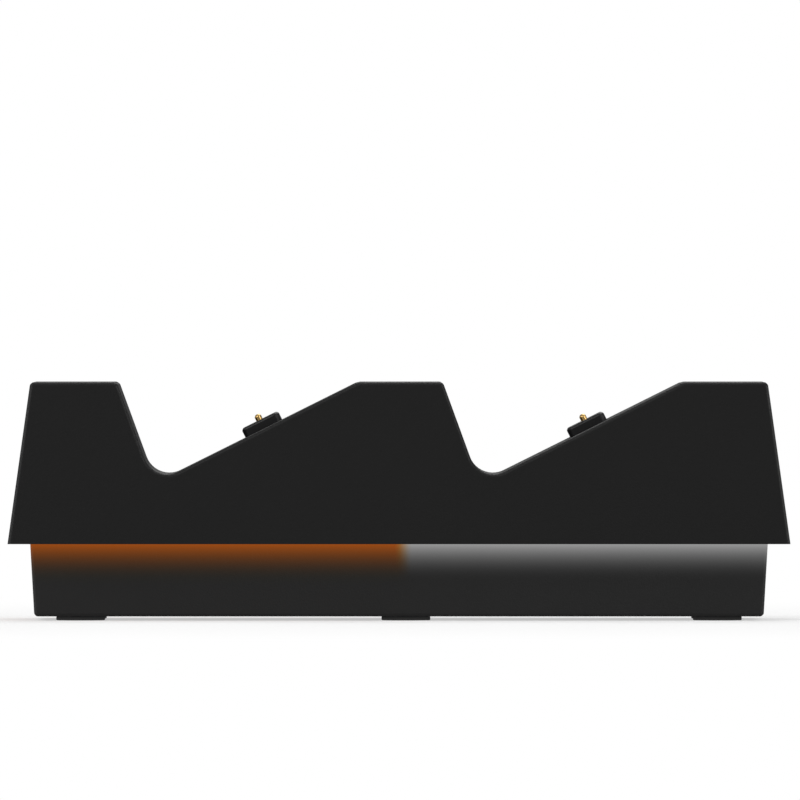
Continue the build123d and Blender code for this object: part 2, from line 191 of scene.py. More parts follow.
# Places in a piece's list of finishes
OWN_FINISH = 0
SECOND_FINISH = 1
THIRD_FINISH = 2

# Rounding of edges, and the angles between faces at which an edge counts as a chamfer's or as square
MERGE_DISTANCE = 0.002 * MM
FLAT_ANGLE = 0.5
SMOOTH_ANGLE = 35
CHAMFER_ANGLES = (25, 70)
SQUARE_ANGLES = (70, 110)
FACING = 0.999
HOUSING_ROUNDING = 0.22 * MM
BLOCK_ROUNDING = 0.18 * MM
PIN_ROUNDING = 0.16 * MM
SPRING_ROUNDING = 0.05 * MM
INLET_ROUNDING = 0.2 * MM
GUIDE_ROUNDING = 0.15 * MM
FINE_STEPS = 2
SOFT_STEPS = 3
TURNED_STEPS = 4

# Feet: the rim of the sole and its shallow dish
FOOT_ROUNDING = 0.25 * MM
SOLE_RIM = 1.6 * MM
SOLE_STEP = 0.3 * MM
SOLE_DISH = 0.2 * MM

# Lamps: the reflector round the lens and the tinned ends
LAMP_ROUNDING = 0.06 * MM
LAMP_RIM = 0.2 * MM
LAMP_DISH = 0.25 * MM
LAMP_TIN_HEIGHT = 0.45 * MM

# Charger chips: pads along the foot of each side and the dimple that marks the first of them
CHIP_ROUNDING = 0.12 * MM
CHIP_PADS = 6
CHIP_PAD_PITCH = 0.65 * MM
CHIP_PAD_WIDTH = 0.32 * MM
CHIP_PAD_HEIGHT = 0.35 * MM
DIMPLE_INSET = 0.9 * MM
DIMPLE_RADIUS = 0.35 * MM
DIMPLE_SIDES = 12
DIMPLE_SLOPE = 0.08 * MM
DIMPLE_DEPTH = 0.12 * MM
DIMPLE_CENTRING = 0.02 * MM

# Inductors and capacitor: tinned tabs at both ends, and the band at the capacitor's positive end
TAB_ROUNDING = 0.25 * MM
INDUCTOR_TAB_WIDTH = 3.4 * MM
INDUCTOR_TAB_HEIGHT = 1.1 * MM
CAPACITOR_TAB_WIDTH = 2.4 * MM
CAPACITOR_TAB_HEIGHT = 1.9 * MM
BAND_START = 0.8 * MM
BAND_END = 2.0 * MM

# Plugs of the ribbon leads: a row of windows over their crimped contacts
PLUG_ROUNDING = 0.2 * MM
PLUG_WINDOWS = 4
WINDOW_PITCH = 1.5 * MM
WINDOW_WIDTH = 0.8 * MM
WINDOW_LENGTH = 1.8 * MM
WINDOW_SLOPE = 0.06 * MM
WINDOW_DEPTH = 0.6 * MM

# Ribbon leads: cores side by side with grooves between
RIBBON_CORES = 4
GROOVE_WIDTH = 0.5 * MM
GROOVE_DEPTH = 0.2 * MM

# Housing screws: pan head, cross recess and thread, with the head at the lower end
HEAD_HEIGHT = 2.0 * MM
HEAD_FLAT_SHARE = 0.68
HEAD_SHOULDER_SHARE = 0.9
HEAD_CROWN = 0.3 * MM
HEAD_EDGE = 0.85 * MM
SCREW_CORE_RADIUS = 1.22 * MM
SCREW_CREST_RADIUS = 1.5 * MM
SCREW_TIP_RADIUS = 0.4 * MM
SCREW_TIP_LENGTH = 1.6 * MM
SCREW_STEPS = 32
THREAD_PITCH = 1.2 * MM
THREAD_ROOT = 0.42 * MM
THREAD_START = 1.0 * MM
RECESS_WIDTH = 0.75 * MM
RECESS_LENGTH = 2.7 * MM
RECESS_SLOPE = 0.14 * MM
RECESS_DEPTH = 1.1 * MM


def linear(hex_colour):
    """Linear colour, with full alpha, of an sRGB hex value."""
    shares = [int(hex_colour[start:start + 2], 16) / 255 for start in (1, 3, 5)]
    channels = [share / 12.92 if share <= 0.04045 else ((share + 0.055) / 1.055) ** 2.4 for share in shares]
    return [*channels, 1]


def add_node(tree, kind, inputs=None, **settings):
    """Add a shader node with its settings. Each input, named or numbered, gets a value or a link."""
    node = tree.nodes.new("ShaderNode" + kind)
    for name, value in settings.items():
        setattr(node, name, value)
    for name, value in (inputs or {}).items():
        if isinstance(value, bpy.types.NodeSocket):
            tree.links.new(value, node.inputs[name])
        else:
            node.inputs[name].default_value = value
    return node


def new_material(name):
    """A material with one principled shader, its node tree and the object coordinates."""
    made = bpy.data.materials.new(name)
    made.use_nodes = True
    tree = made.node_tree
    tree.nodes.clear()
    shader = add_node(tree, "BsdfPrincipled")
    add_node(tree, "OutputMaterial", {"Surface": shader.outputs["BSDF"]})
    place = add_node(tree, "TexCoord").outputs["Object"]
    return made, tree, shader, place


def moulded_plastic(name, colour, pale, roughness, ior, grain_mm, grain_depth_mm):
    """Moulded plastic: a colour that drifts slightly, and the mould's grain in its surface and gloss."""
    # Such grain is about 0.1 mm or finer, so on each plastic it is drawn coarser than the real one, to show.
    made, tree, shader, place = new_material(name)
    clouds = {"Scale": 1 / (TONE_DRIFT_MM * MM), "Detail": DRIFT_DETAIL}
    drift = add_node(tree, "TexNoise", {"Vector": place, **clouds})
    tone = add_node(
        tree,
        "Mix",
        {
            MIX_SHARE: drift.outputs["Fac"],
            MIX_COLOUR_A: linear(colour),
            MIX_COLOUR_B: linear(pale),
        },
        data_type="RGBA",
    )
    grit = {"Scale": 1 / (grain_mm * MM), "Detail": GRAIN_DETAIL, "Roughness": GRAIN_HARSHNESS}
    grain = add_node(tree, "TexNoise", {"Vector": place, **grit})
    bump = add_node(tree, "Bump", {"Height": grain.outputs["Fac"], "Distance": grain_depth_mm * MM})
    gloss = {"To Min": roughness - GLOSS_SWING, "To Max": roughness + GLOSS_SWING}
    polish = add_node(tree, "MapRange", {"Value": grain.outputs["Fac"], **gloss})
    tree.links.new(tone.outputs[MIXED_COLOUR], shader.inputs["Base Color"])
    tree.links.new(polish.outputs["Result"], shader.inputs["Roughness"])
    tree.links.new(bump.outputs["Normal"], shader.inputs["Normal"])
    shader.inputs["IOR"].default_value = ior
    shader.inputs["Specular IOR Level"].default_value = PLASTIC_SHINE
    return made


def shell_abs():
    """ABS moulded in a spark-eroded tool."""
    # Gives a matt, nearly even black that takes only a broad, dull shine along its edges.
    return moulded_plastic(
        "spark_eroded_black_abs",
        colour="#101010",
        pale="#131313",
        roughness=0.52,
        ior=1.46,
        grain_mm=0.5,
        grain_depth_mm=0.05,
    )


def base_abs():
    """The same ABS on the base, under the ring of light, whose light is painted onto it."""
    # Gives the shell's matt black, a shade paler, with a painted glow: amber and white emission running down
    # from the lip, and painted amber light warming the colour near the lip in the front half.
    made = moulded_plastic(
        "spark_eroded_black_abs_with_painted_glow",
        colour="#222222",
        pale="#262626",
        roughness=0.52,
        ior=1.46,
        grain_mm=0.5,
        grain_depth_mm=0.05,
    )
    tree = made.node_tree
    shader = tree.nodes["Principled BSDF"]
    place = tree.nodes["Texture Coordinate"].outputs["Object"]
    # Painted glow: emission on the outer walls only, strongest at the lip and fading downward, amber in the
    # front half and white in the rear, stands in for the ring's light falling on the base.
    along = add_node(tree, "SeparateXYZ", {"Vector": place})
    reach = {"From Min": lip_z - GLOW_REACH, "From Max": lip_z}
    nearness = add_node(tree, "MapRange", {"Value": along.outputs["Z"], **reach})
    falloff = add_node(tree, "Math", {0: nearness.outputs["Result"], 1: GLOW_POWER}, operation="POWER")
    level = add_node(tree, "Math", {0: falloff.outputs[0], 1: GLOW_LEVEL}, operation="MULTIPLY")
    far_x = add_node(tree, "Math", {0: along.outputs["X"]}, operation="ABSOLUTE")
    far_y = add_node(tree, "Math", {0: along.outputs["Y"]}, operation="ABSOLUTE")
    end_skin = {0: far_x.outputs[0], 1: rim_corner.x - GLOW_SKIN}
    side_skin = {0: far_y.outputs[0], 1: rim_corner.y - GLOW_SKIN}
    on_end = add_node(tree, "Math", end_skin, operation="GREATER_THAN")
    on_side = add_node(tree, "Math", side_skin, operation="GREATER_THAN")
    outside = add_node(tree, "Math", {0: on_end.outputs[0], 1: on_side.outputs[0]}, operation="MAXIMUM")
    strength = add_node(tree, "Math", {0: level.outputs[0], 1: outside.outputs[0]}, operation="MULTIPLY")
    blend = {"From Min": split_x - GLOW_BLEND_FRONT, "From Max": split_x + GLOW_BLEND_REAR}
    half = add_node(
        tree, "MapRange", {"Value": along.outputs["X"], **blend}, interpolation_type="SMOOTHSTEP"
    )
    glow = add_node(tree, "ValToRGB", {"Fac": half.outputs["Result"]})
    stops = glow.color_ramp.elements
    stops[0].color = linear(AMBER_GLOW)
    stops[1].color = linear(WHITE_GLOW)
    for position, mixed in GLOW_MIXES.items():
        stops.new(position).color = linear(mixed)
    amber_share = add_node(tree, "Math", {0: 1.0, 1: half.outputs["Result"]}, operation="SUBTRACT")
    lowness = add_node(tree, "Math", {0: 1.0, 1: nearness.outputs["Result"]}, operation="SUBTRACT")
    paling = add_node(
        tree, "Math", {0: amber_share.outputs[0], 1: lowness.outputs[0]}, operation="MULTIPLY"
    )
    paled = add_node(
        tree,
        "Mix",
        {
            MIX_SHARE: paling.outputs[0],
            MIX_COLOUR_A: glow.outputs["Color"],
            MIX_COLOUR_B: linear(AMBER_GLOW_LOW),
        },
        data_type="RGBA",
    )
    # Painted amber light: near the lip in the front half, the plastic's own colour is mixed toward amber, as
    # if lit by the ring.
    painted_amber_light_share = add_node(
        tree, "Math", {0: amber_share.outputs[0], 1: nearness.outputs["Result"]}, operation="MULTIPLY"
    )
    plain = shader.inputs["Base Color"].links[0].from_socket
    painted_amber_light_base = add_node(
        tree,
        "Mix",
        {
            MIX_SHARE: painted_amber_light_share.outputs[0],
            MIX_COLOUR_A: plain,
            MIX_COLOUR_B: linear(PAINTED_AMBER_LIGHT_ON_PLASTIC),
        },
        data_type="RGBA",
    )
    tree.links.new(painted_amber_light_base.outputs[MIXED_COLOUR], shader.inputs["Base Color"])
    tree.links.new(paled.outputs[MIXED_COLOUR], shader.inputs["Emission Color"])
    tree.links.new(strength.outputs[0], shader.inputs["Emission Strength"])
    return made


def lit_frost(name, colour, glow, low, high, cloud_mm, roughness, ior):
    """A clear plastic with a frosted skin, lit from behind: a clouded glow and a fine tooth."""
    made, tree, shader, place = new_material(name)
    clouds = {"Scale": 1 / (cloud_mm * MM), "Detail": CLOUD_DETAIL}
    cloud = add_node(tree, "TexNoise", {"Vector": place, **clouds})
    level = add_node(tree, "MapRange", {"Value": cloud.outputs["Fac"], "To Min": low, "To Max": high})
    frost = add_node(tree, "TexNoise", {"Vector": place, "Scale": 1 / (FROST_MM * MM)})
    tooth = {"Strength": FROST_RELIEF, "Distance": FROST_DEPTH_MM * MM}
    bump = add_node(tree, "Bump", {"Height": frost.outputs["Fac"], **tooth})
    shader.inputs["Base Color"].default_value = linear(colour)
    shader.inputs["Emission Color"].default_value = linear(glow)
    shader.inputs["Roughness"].default_value = roughness
    shader.inputs["IOR"].default_value = ior
    tree.links.new(level.outputs["Result"], shader.inputs["Emission Strength"])
    tree.links.new(bump.outputs["Normal"], shader.inputs["Normal"])
    return made


def light_guide_polycarbonate(name, glow):
    """Polycarbonate moulded in a blasted tool and lit from behind by its lamps."""
    # Gives a milky strip of even light, faintly clouded. Its frost is drawn coarser than the real one.
    return lit_frost(
        name, colour="#E9E6DE", glow=glow, low=0.8, high=1.0, cloud_mm=3.0, roughness=0.45, ior=1.585
    )


def lens_silicone(name, glow):
    """Silicone cast into a lamp's cup over its die, with phosphor grains in it."""
    # Gives a soft yellowish window that glows unevenly, brightest where the grains are thin.
    return lit_frost(
        name, colour="#E6C95A", glow=glow, low=0.5, high=1.4, cloud_mm=0.4, roughness=0.25, ior=1.42
    )


def foot_rubber():
    """Thermoplastic rubber, moulded."""
    # Gives a dull dark grey with a fine even tooth. The grey is partly the rubber's own and partly painted
    # fill light: it is paler than the real rubber, to make up for the shade under the base.
    return moulded_plastic(
        "moulded_thermoplastic_rubber",
        colour="#404040",
        pale="#484848",
        roughness=0.82,
        ior=1.5,
        grain_mm=0.3,
        grain_depth_mm=0.02,
    )


def contact_pbt():
    """Glass-filled PBT, moulded."""
    # Gives a satin black with a tighter grain than the shell's.
    return moulded_plastic(
        "glass_filled_black_pbt",
        colour="#151516",
        pale="#1A1A1B",
        roughness=0.4,
        ior=1.56,
        grain_mm=0.25,
        grain_depth_mm=0.006,
    )


def inlet_pbt():
    """PBT of the supply inlet, moulded in a polished tool."""
    # Gives a black a shade glossier than the contact blocks.
    return moulded_plastic(
        "moulded_black_pbt_inlet",
        colour="#131313",
        pale="#171717",
        roughness=0.34,
        ior=1.56,
        grain_mm=0.25,
        grain_depth_mm=0.004,
    )


def epoxy_case():
    """Black epoxy compound pressed round a chip."""
    # Gives a fine sandy matt, a little grey.
    return moulded_plastic(
        "black_epoxy_compound",
        colour="#1B1C1E",
        pale="#222326",
        roughness=0.6,
        ior=1.55,
        grain_mm=0.2,
        grain_depth_mm=0.01,
    )


def ferrite():
    """Ferrite powder pressed and fired."""
    # Gives a dark grey that looks dry and grainy.
    return moulded_plastic(
        "pressed_grey_ferrite",
        colour="#3A3A3D",
        pale="#4A4A4D",
        roughness=0.75,
        ior=1.6,
        grain_mm=0.3,
        grain_depth_mm=0.02,
    )


def capacitor_case():
    """Ochre epoxy moulded round a chip capacitor."""
    # Gives a warm satin yellow with sharp corners.
    return moulded_plastic(
        "moulded_ochre_epoxy",
        colour="#B5801C",
        pale="#C18B25",
        roughness=0.45,
        ior=1.55,
        grain_mm=0.25,
        grain_depth_mm=0.006,
    )


def band_ink():
    """Brown ink printed across the capacitor's positive end."""
    # Gives a dark band, slightly duller than the case.
    return moulded_plastic(
        "printed_brown_ink",
        colour="#4A2A12",
        pale="#533017",
        roughness=0.6,
        ior=1.5,
        grain_mm=0.25,
        grain_depth_mm=0.004,
    )


def header_nylon():
    """Natural nylon, moulded."""
    # Gives a warm off-white, slightly waxy.
    return moulded_plastic(
        "natural_moulded_nylon",
        colour="#D9D3C0",
        pale="#E0DACB",
        roughness=0.42,
        ior=1.53,
        grain_mm=0.4,
        grain_depth_mm=0.006,
    )


def lamp_polyamide():
    """White polyamide moulded as a lamp's reflector."""
    # Gives a clean white with a soft shine.
    return moulded_plastic(
        "white_lamp_polyamide",
        colour="#E4E2DA",
        pale="#EDEBE4",
        roughness=0.4,
        ior=1.54,
        grain_mm=0.2,
        grain_depth_mm=0.004,
    )


def worked_metal(name, colour, roughness, streak_mm, stretch):
    """Metal with faint working marks drawn out along one axis."""
    made, tree, shader, place = new_material(name)
    drawn = add_node(tree, "Mapping", {"Vector": place, "Scale": stretch})
    streaks = {"Scale": 1 / (streak_mm * MM), "Detail": STREAK_DETAIL}
    marks = add_node(tree, "TexNoise", {"Vector": drawn.outputs["Vector"], **streaks})
    gloss = {"To Min": roughness - GLOSS_SWING, "To Max": roughness + GLOSS_SWING}
    polish = add_node(tree, "MapRange", {"Value": marks.outputs["Fac"], **gloss})
    shader.inputs["Base Color"].default_value = linear(colour)
    shader.inputs["Metallic"].default_value = 1.0
    tree.links.new(polish.outputs["Result"], shader.inputs["Roughness"])
    return made


def contact_gold():
    """Gold flashed over nickel on turned contacts."""
    # Gives a warm bright yellow with fine turning marks.
    return worked_metal(
        "gold_plated_contact", colour="#E7C07A", roughness=0.22, streak_mm=0.08, stretch=(1, 1, 6)
    )


def spring_steel():
    """Rolled and bent spring strip."""
    # Gives a cool grey with marks along the strip.
    return worked_metal(
        "rolled_spring_steel", colour="#B4B3AF", roughness=0.3, streak_mm=0.1, stretch=(0.15, 1, 1)
    )


def zinc_steel():
    """Rolled-thread steel screws, zinc-plated."""
    # Gives a pale grey, slightly cloudy.
    return worked_metal(
        "zinc_plated_steel", colour="#B9BBBB", roughness=0.32, streak_mm=0.3, stretch=(1, 1, 1)
    )


def dipped_tin():
    """Tin on the solder ends of the small parts."""
    # Gives a soft bright grey with a frosted look.
    return worked_metal(
        "dipped_tin_terminal", colour="#C9C8C2", roughness=0.38, streak_mm=0.15, stretch=(1, 1, 1)
    )


def solder_mask():
    """Green solder mask printed over copper traces on glass laminate."""
    # Gives a glossy green with paler runs of traces in patches, small tinned vias and a hint of weave.
    # The threads, traces and vias have their real sizes.
    made, tree, shader, place = new_material("green_solder_mask_laminate")
    thread = {"Vector": place, "Scale": WAVE_PERIOD / (CLOTH_THREAD_MM * MM)}
    warp = add_node(tree, "TexWave", thread, bands_direction="X")
    weft = add_node(tree, "TexWave", thread, bands_direction="Y")
    weave = add_node(tree, "Math", {0: warp.outputs["Fac"], 1: weft.outputs["Fac"]}, operation="MULTIPLY")
    cloth = add_node(
        tree,
        "Mix",
        {
            MIX_SHARE: weave.outputs[0],
            MIX_COLOUR_A: linear(MASK_GREEN),
            MIX_COLOUR_B: linear(MASK_GREEN_OVER_THREAD),
        },
        data_type="RGBA",
    )
    runs = {
        "Vector": place,
        "Scale": 1 / MM,
        "Mortar Size": TRACE_WIDTH_MM / 2,
        "Brick Width": TRACE_RUN_MM,
        "Row Height": TRACE_PITCH_MM,
    }
    traces = add_node(
        tree,
        "TexBrick",
        runs,
        offset=TRACE_SHIFT,
        offset_frequency=TRACE_SHIFT_ROWS,
        squash=TRACE_SQUEEZE,
        squash_frequency=TRACE_SQUEEZE_ROWS,
    )
    patches = add_node(tree, "TexNoise", {"Vector": place, "Scale": 1 / (TRACE_PATCH_MM * MM)})
    routed = add_node(tree, "Math", {0: patches.outputs["Fac"], 1: TRACE_SHARE}, operation="GREATER_THAN")
    shown = add_node(tree, "Math", {0: traces.outputs["Fac"], 1: routed.outputs[0]}, operation="MULTIPLY")
    copper = add_node(
        tree,
        "Mix",
        {
            MIX_SHARE: shown.outputs[0],
            MIX_COLOUR_A: cloth.outputs[MIXED_COLOUR],
            MIX_COLOUR_B: linear(MASK_GREEN_OVER_COPPER),
        },
        data_type="RGBA",
    )
    cells = add_node(
        tree, "TexVoronoi", {"Vector": place, "Scale": 1 / (VIA_PITCH_MM * MM)}, voronoi_dimensions="2D"
    )
    on_via = add_node(
        tree, "Math", {0: cells.outputs["Distance"], 1: VIA_RADIUS_MM / VIA_PITCH_MM}, operation="LESS_THAN"
    )
    tinned = add_node(
        tree,
        "Mix",
        {
            MIX_SHARE: on_via.outputs[0],
            MIX_COLOUR_A: copper.outputs[MIXED_COLOUR],
            MIX_COLOUR_B: linear(VIA_TIN),
        },
        data_type="RGBA",
    )
    tree.links.new(tinned.outputs[MIXED_COLOUR], shader.inputs["Base Color"])
    shader.inputs["Roughness"].default_value = MASK_ROUGHNESS
    return made


def routed_laminate():
    """Glass laminate cut by a router, at the edges of the boards."""
    # Gives a dull straw colour with a rough, fibrous grain.
    return moulded_plastic(
        "routed_glass_laminate",
        colour="#8C8654",
        pale="#A19A66",
        roughness=0.7,
        ior=1.55,
        grain_mm=0.25,
        grain_depth_mm=0.02,
    )


def ribbon_vinyl():
    """PVC extruded over a row of cores."""
    # Gives a mid grey with a soft shine, with painted shade making it darker in the grooves between the
    # cores.
    made, tree, shader, place = new_material("extruded_grey_pvc")
    ridges = {"Vector": place, "Scale": WAVE_PERIOD / (RIBBON_CORE_MM * MM)}
    cores = add_node(tree, "TexWave", ridges, bands_direction="Y")
    tone = add_node(
        tree,
        "Mix",
        {
            MIX_SHARE: cores.outputs["Fac"],
            MIX_COLOUR_A: linear(VINYL_PAINTED_SHADE_IN_GROOVE),
            MIX_COLOUR_B: linear(VINYL_ON_CORE),
        },
        data_type="RGBA",
    )
    tree.links.new(tone.outputs[MIXED_COLOUR], shader.inputs["Base Color"])
    shader.inputs["Roughness"].default_value = VINYL_ROUGHNESS
    return made


finishes = {
    "shell_plastic": shell_abs(),
    "base_plastic": base_abs(),
    "amber_guide": light_guide_polycarbonate("frosted_polycarbonate_lit_amber", AMBER_LIGHT),
    "white_guide": light_guide_polycarbonate("frosted_polycarbonate_lit_white", WHITE_LIGHT),
    "foot_rubber": foot_rubber(),
    "contact_plastic": contact_pbt(),
    "contact_gold": contact_gold(),
    "spring_steel": spring_steel(),
    "circuit_board": solder_mask(),
    "lamp_body": lamp_polyamide(),
    "chip_epoxy": epoxy_case(),
    "inductor_ferrite": ferrite(),
    "capacitor_epoxy": capacitor_case(),
    "header_nylon": header_nylon(),
    "jack_plastic": inlet_pbt(),
    "ribbon_vinyl": ribbon_vinyl(),
    "screw_steel": zinc_steel(),
}
lenses = {
    "front": lens_silicone("phosphor_silicone_lit_amber", AMBER_LIGHT),
    "rear": lens_silicone("phosphor_silicone_lit_white", WHITE_LIGHT),
}
tin = dipped_tin()
laminate = routed_laminate()
ink = band_ink()


def merged_copy(node):
    """The solid's surface with its triangles joined into whole flat faces."""
    bm = bmesh.new()
    bm.from_mesh(nodes[node].data)
    bmesh.ops.remove_doubles(bm, verts=bm.verts, dist=MERGE_DISTANCE)
    join_flat_faces(bm)
    for face in bm.faces:
        face.material_index = OWN_FINISH
    return bm


def join_flat_faces(bm):
    """Join faces that lie in one plane and share a material."""
    bmesh.ops.dissolve_limit(
        bm, angle_limit=radians(FLAT_ANGLE), verts=bm.verts, edges=bm.edges, delimit={"MATERIAL"}
    )
    bm.normal_update()


def cut(bm, point, normal, faces=None):
    """Score faces along a plane, or the whole surface where none are given."""
    chosen = bm.faces if faces is None else faces
    geometry = {part for face in chosen for part in (face, *face.edges, *face.verts)}
    bmesh.ops.bisect_plane(bm, geom=list(geometry), plane_co=point, plane_no=normal, dist=MERGE_DISTANCE)


def facing(bm, direction):
    """The flat faces that look in one direction."""
    bm.normal_update()
    return [face for face in bm.faces if face.normal.dot(direction) > FACING]


def within(faces, place, reach):
    """The faces whose middle lies within reach of a place."""
    return [face for face in faces if (face.calc_center_median() - place).length < reach]


def sink(bm, faces, slope, depth):
    """Sink a patch of faces below its surroundings, with sloping walls, and return its floor."""
    bmesh.ops.inset_region(bm, faces=faces, thickness=slope, depth=-depth, use_even_offset=True)
    return faces


def round_edges(bm, rounding, angles, steps, floor=None):
    """Round the raised edges that meet within two angles and rise above the floor, if one is given."""
    bm.normal_update()
    low, high = (radians(angle) for angle in angles)
    edges = []
    for edge in bm.edges:
        if not edge.is_manifold or not edge.is_convex:
            continue
        raised = floor is None or max(vert.co.z for vert in edge.verts) > floor
        if raised and low < edge.calc_face_angle() < high:
            edges.append(edge)
    bmesh.ops.bevel(
        bm,
        geom=edges,
        offset=rounding,
        offset_type="OFFSET",
        affect="EDGES",
        segments=steps,
        profile=0.5,
        material=-1,
        clamp_overlap=True,
    )


def new_piece(name, bm, *materials):
    """Turn a finished bmesh into a smoothly shaded piece at the origin."""
    mesh = bpy.data.meshes.new(name)
    bm.to_mesh(mesh)
    bm.free()
    mesh.shade_smooth()
    mesh.set_sharp_from_angle(angle=radians(SMOOTH_ANGLE))
    for material in materials:
        mesh.materials.append(material)
    piece = bpy.data.objects.new(name, mesh)
    bpy.context.scene.collection.objects.link(piece)
    evening = piece.modifiers.new("even_shading", "WEIGHTED_NORMAL")
    evening.keep_sharp = True
    return piece


def stand_for(node, bm, ending, *more_materials):
    """Make the piece that stands for a node, on its body and in its finish."""
    piece = new_piece(node + ending, bm, finishes[slot_of[node]], *more_materials)
    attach(piece, body_of[node])
    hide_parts(node)
    return piece


def dress(node, rounding, angles, steps):
    """A copy of a node with its edges rounded."""
    bm = merged_copy(node)
    round_edges(bm, rounding, angles, steps)
    return stand_for(node, bm, "_rounded")


def rubber_foot(node):
    """A foot with a soft rim and a shallow dish in its sole."""
    bm = merged_copy(node)
    round_edges(bm, FOOT_ROUNDING, SQUARE_ANGLES, SOFT_STEPS)
    sole = facing(bm, -UP)
    sink(bm, sole, SOLE_RIM, 0)
    sink(bm, sole, SOLE_STEP, SOLE_DISH)
    stand_for(node, bm, "_rounded")


def circuit_board(node, normal):
    """A board whose cut edges show the bare laminate."""
    bm = merged_copy(node)
    for face in bm.faces:
        face.material_index = OWN_FINISH if abs(face.normal.dot(normal)) > FACING else SECOND_FINISH
    stand_for(node, bm, "_detailed", laminate)


def status_lamp(node, lens):
    """A side-view lamp: a white body with a sloping reflector round its lens, and tinned ends."""
    bm = merged_copy(node)
    low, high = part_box(node)
    middle = (low + high) / 2
    on_long_side = high.x - low.x > high.y - low.y
    lengthwise = ALONG if on_long_side else ACROSS
    outward = ACROSS * copysign(1, middle.y) if on_long_side else ALONG * copysign(1, middle.x)
    tin_top = UP * (low.z + LAMP_TIN_HEIGHT)
    cut(bm, tin_top, UP, facing(bm, lengthwise) + facing(bm, -lengthwise))
    for face in facing(bm, lengthwise) + facing(bm, -lengthwise):
        face.material_index = THIRD_FINISH if face.calc_center_median().z < tin_top.z else OWN_FINISH
    for face in sink(bm, facing(bm, outward), LAMP_RIM, LAMP_DISH):
        face.material_index = SECOND_FINISH
    round_edges(bm, LAMP_ROUNDING, SQUARE_ANGLES, FINE_STEPS)
    stand_for(node, bm, "_detailed", lens, tin)


def charger_chip(node):
    """A flat chip without legs: tinned pads along the foot of each side, and a dimple by the first pad."""
    bm = merged_copy(node)
    low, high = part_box(node)
    middle = (low + high) / 2
    pad_top = low.z + CHIP_PAD_HEIGHT
    pads = [(step - (CHIP_PADS - 1) / 2) * CHIP_PAD_PITCH for step in range(CHIP_PADS)]
    cut(bm, UP * pad_top, UP)
    for pad in pads:
        for edge in (pad - CHIP_PAD_WIDTH / 2, pad + CHIP_PAD_WIDTH / 2):
            cut(bm, ALONG * (middle.x + edge), ALONG)
            cut(bm, ACROSS * (middle.y + edge), ACROSS)
    dimple = Vector((low.x + DIMPLE_INSET, low.y + DIMPLE_INSET, high.z))
    for side in range(DIMPLE_SIDES):
        turn = 2 * pi * side / DIMPLE_SIDES
        outward = ALONG * cos(turn) + ACROSS * sin(turn)
        cut(bm, dimple + outward * DIMPLE_RADIUS, outward, facing(bm, UP))
    for direction, sideways in ((ALONG, ACROSS), (-ALONG, ACROSS), (ACROSS, ALONG), (-ACROSS, ALONG)):
        for face in facing(bm, direction):
            place = face.calc_center_median()
            aside = sideways.dot(place - middle)
            on_pad = any(abs(aside - pad) < CHIP_PAD_WIDTH / 2 for pad in pads)
            face.material_index = SECOND_FINISH if on_pad and place.z < pad_top else OWN_FINISH
    bmesh.ops.dissolve_faces(bm, faces=within(facing(bm, UP), dimple, DIMPLE_RADIUS))
    mark = within(facing(bm, UP), dimple, DIMPLE_CENTRING)
    sink(bm, mark, DIMPLE_SLOPE, DIMPLE_DEPTH)
    join_flat_faces(bm)
    round_edges(bm, CHIP_ROUNDING, SQUARE_ANGLES, FINE_STEPS, floor=pad_top)
    stand_for(node, bm, "_detailed", tin)


def score_tabs(bm, low, high, width, height):
    """Mark a tinned tab at the foot of each end of a small part, as its second finish."""
    middle = (low + high) / 2
    cut(bm, UP * (low.z + height), UP)
    for edge in (-width / 2, width / 2):
        cut(bm, ACROSS * (middle.y + edge), ACROSS)
    for face in facing(bm, ALONG) + facing(bm, -ALONG):
        place = face.calc_center_median()
        on_tab = abs(place.y - middle.y) < width / 2 and place.z < low.z + height
        face.material_index = SECOND_FINISH if on_tab else OWN_FINISH


def power_inductor(node):
    """A pressed ferrite block on two tinned tabs."""
    bm = merged_copy(node)
    low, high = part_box(node)
    score_tabs(bm, low, high, INDUCTOR_TAB_WIDTH, INDUCTOR_TAB_HEIGHT)
    join_flat_faces(bm)
    round_edges(bm, TAB_ROUNDING, SQUARE_ANGLES, SOFT_STEPS, floor=low.z + INDUCTOR_TAB_HEIGHT)
    stand_for(node, bm, "_detailed", tin)


def chip_capacitor(node):
    """A moulded capacitor on two tinned tabs, with a band across its positive end."""
    bm = merged_copy(node)
    low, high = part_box(node)
    score_tabs(bm, low, high, CAPACITOR_TAB_WIDTH, CAPACITOR_TAB_HEIGHT)
    for edge in (BAND_START, BAND_END):
        cut(bm, ALONG * (low.x + edge), ALONG, facing(bm, UP))
    for face in facing(bm, UP):
        on_band = BAND_START < face.calc_center_median().x - low.x < BAND_END
        face.material_index = THIRD_FINISH if on_band else OWN_FINISH
    join_flat_faces(bm)
    round_edges(bm, TAB_ROUNDING, SQUARE_ANGLES, SOFT_STEPS, floor=low.z + CAPACITOR_TAB_HEIGHT)
    stand_for(node, bm, "_detailed", tin, ink)


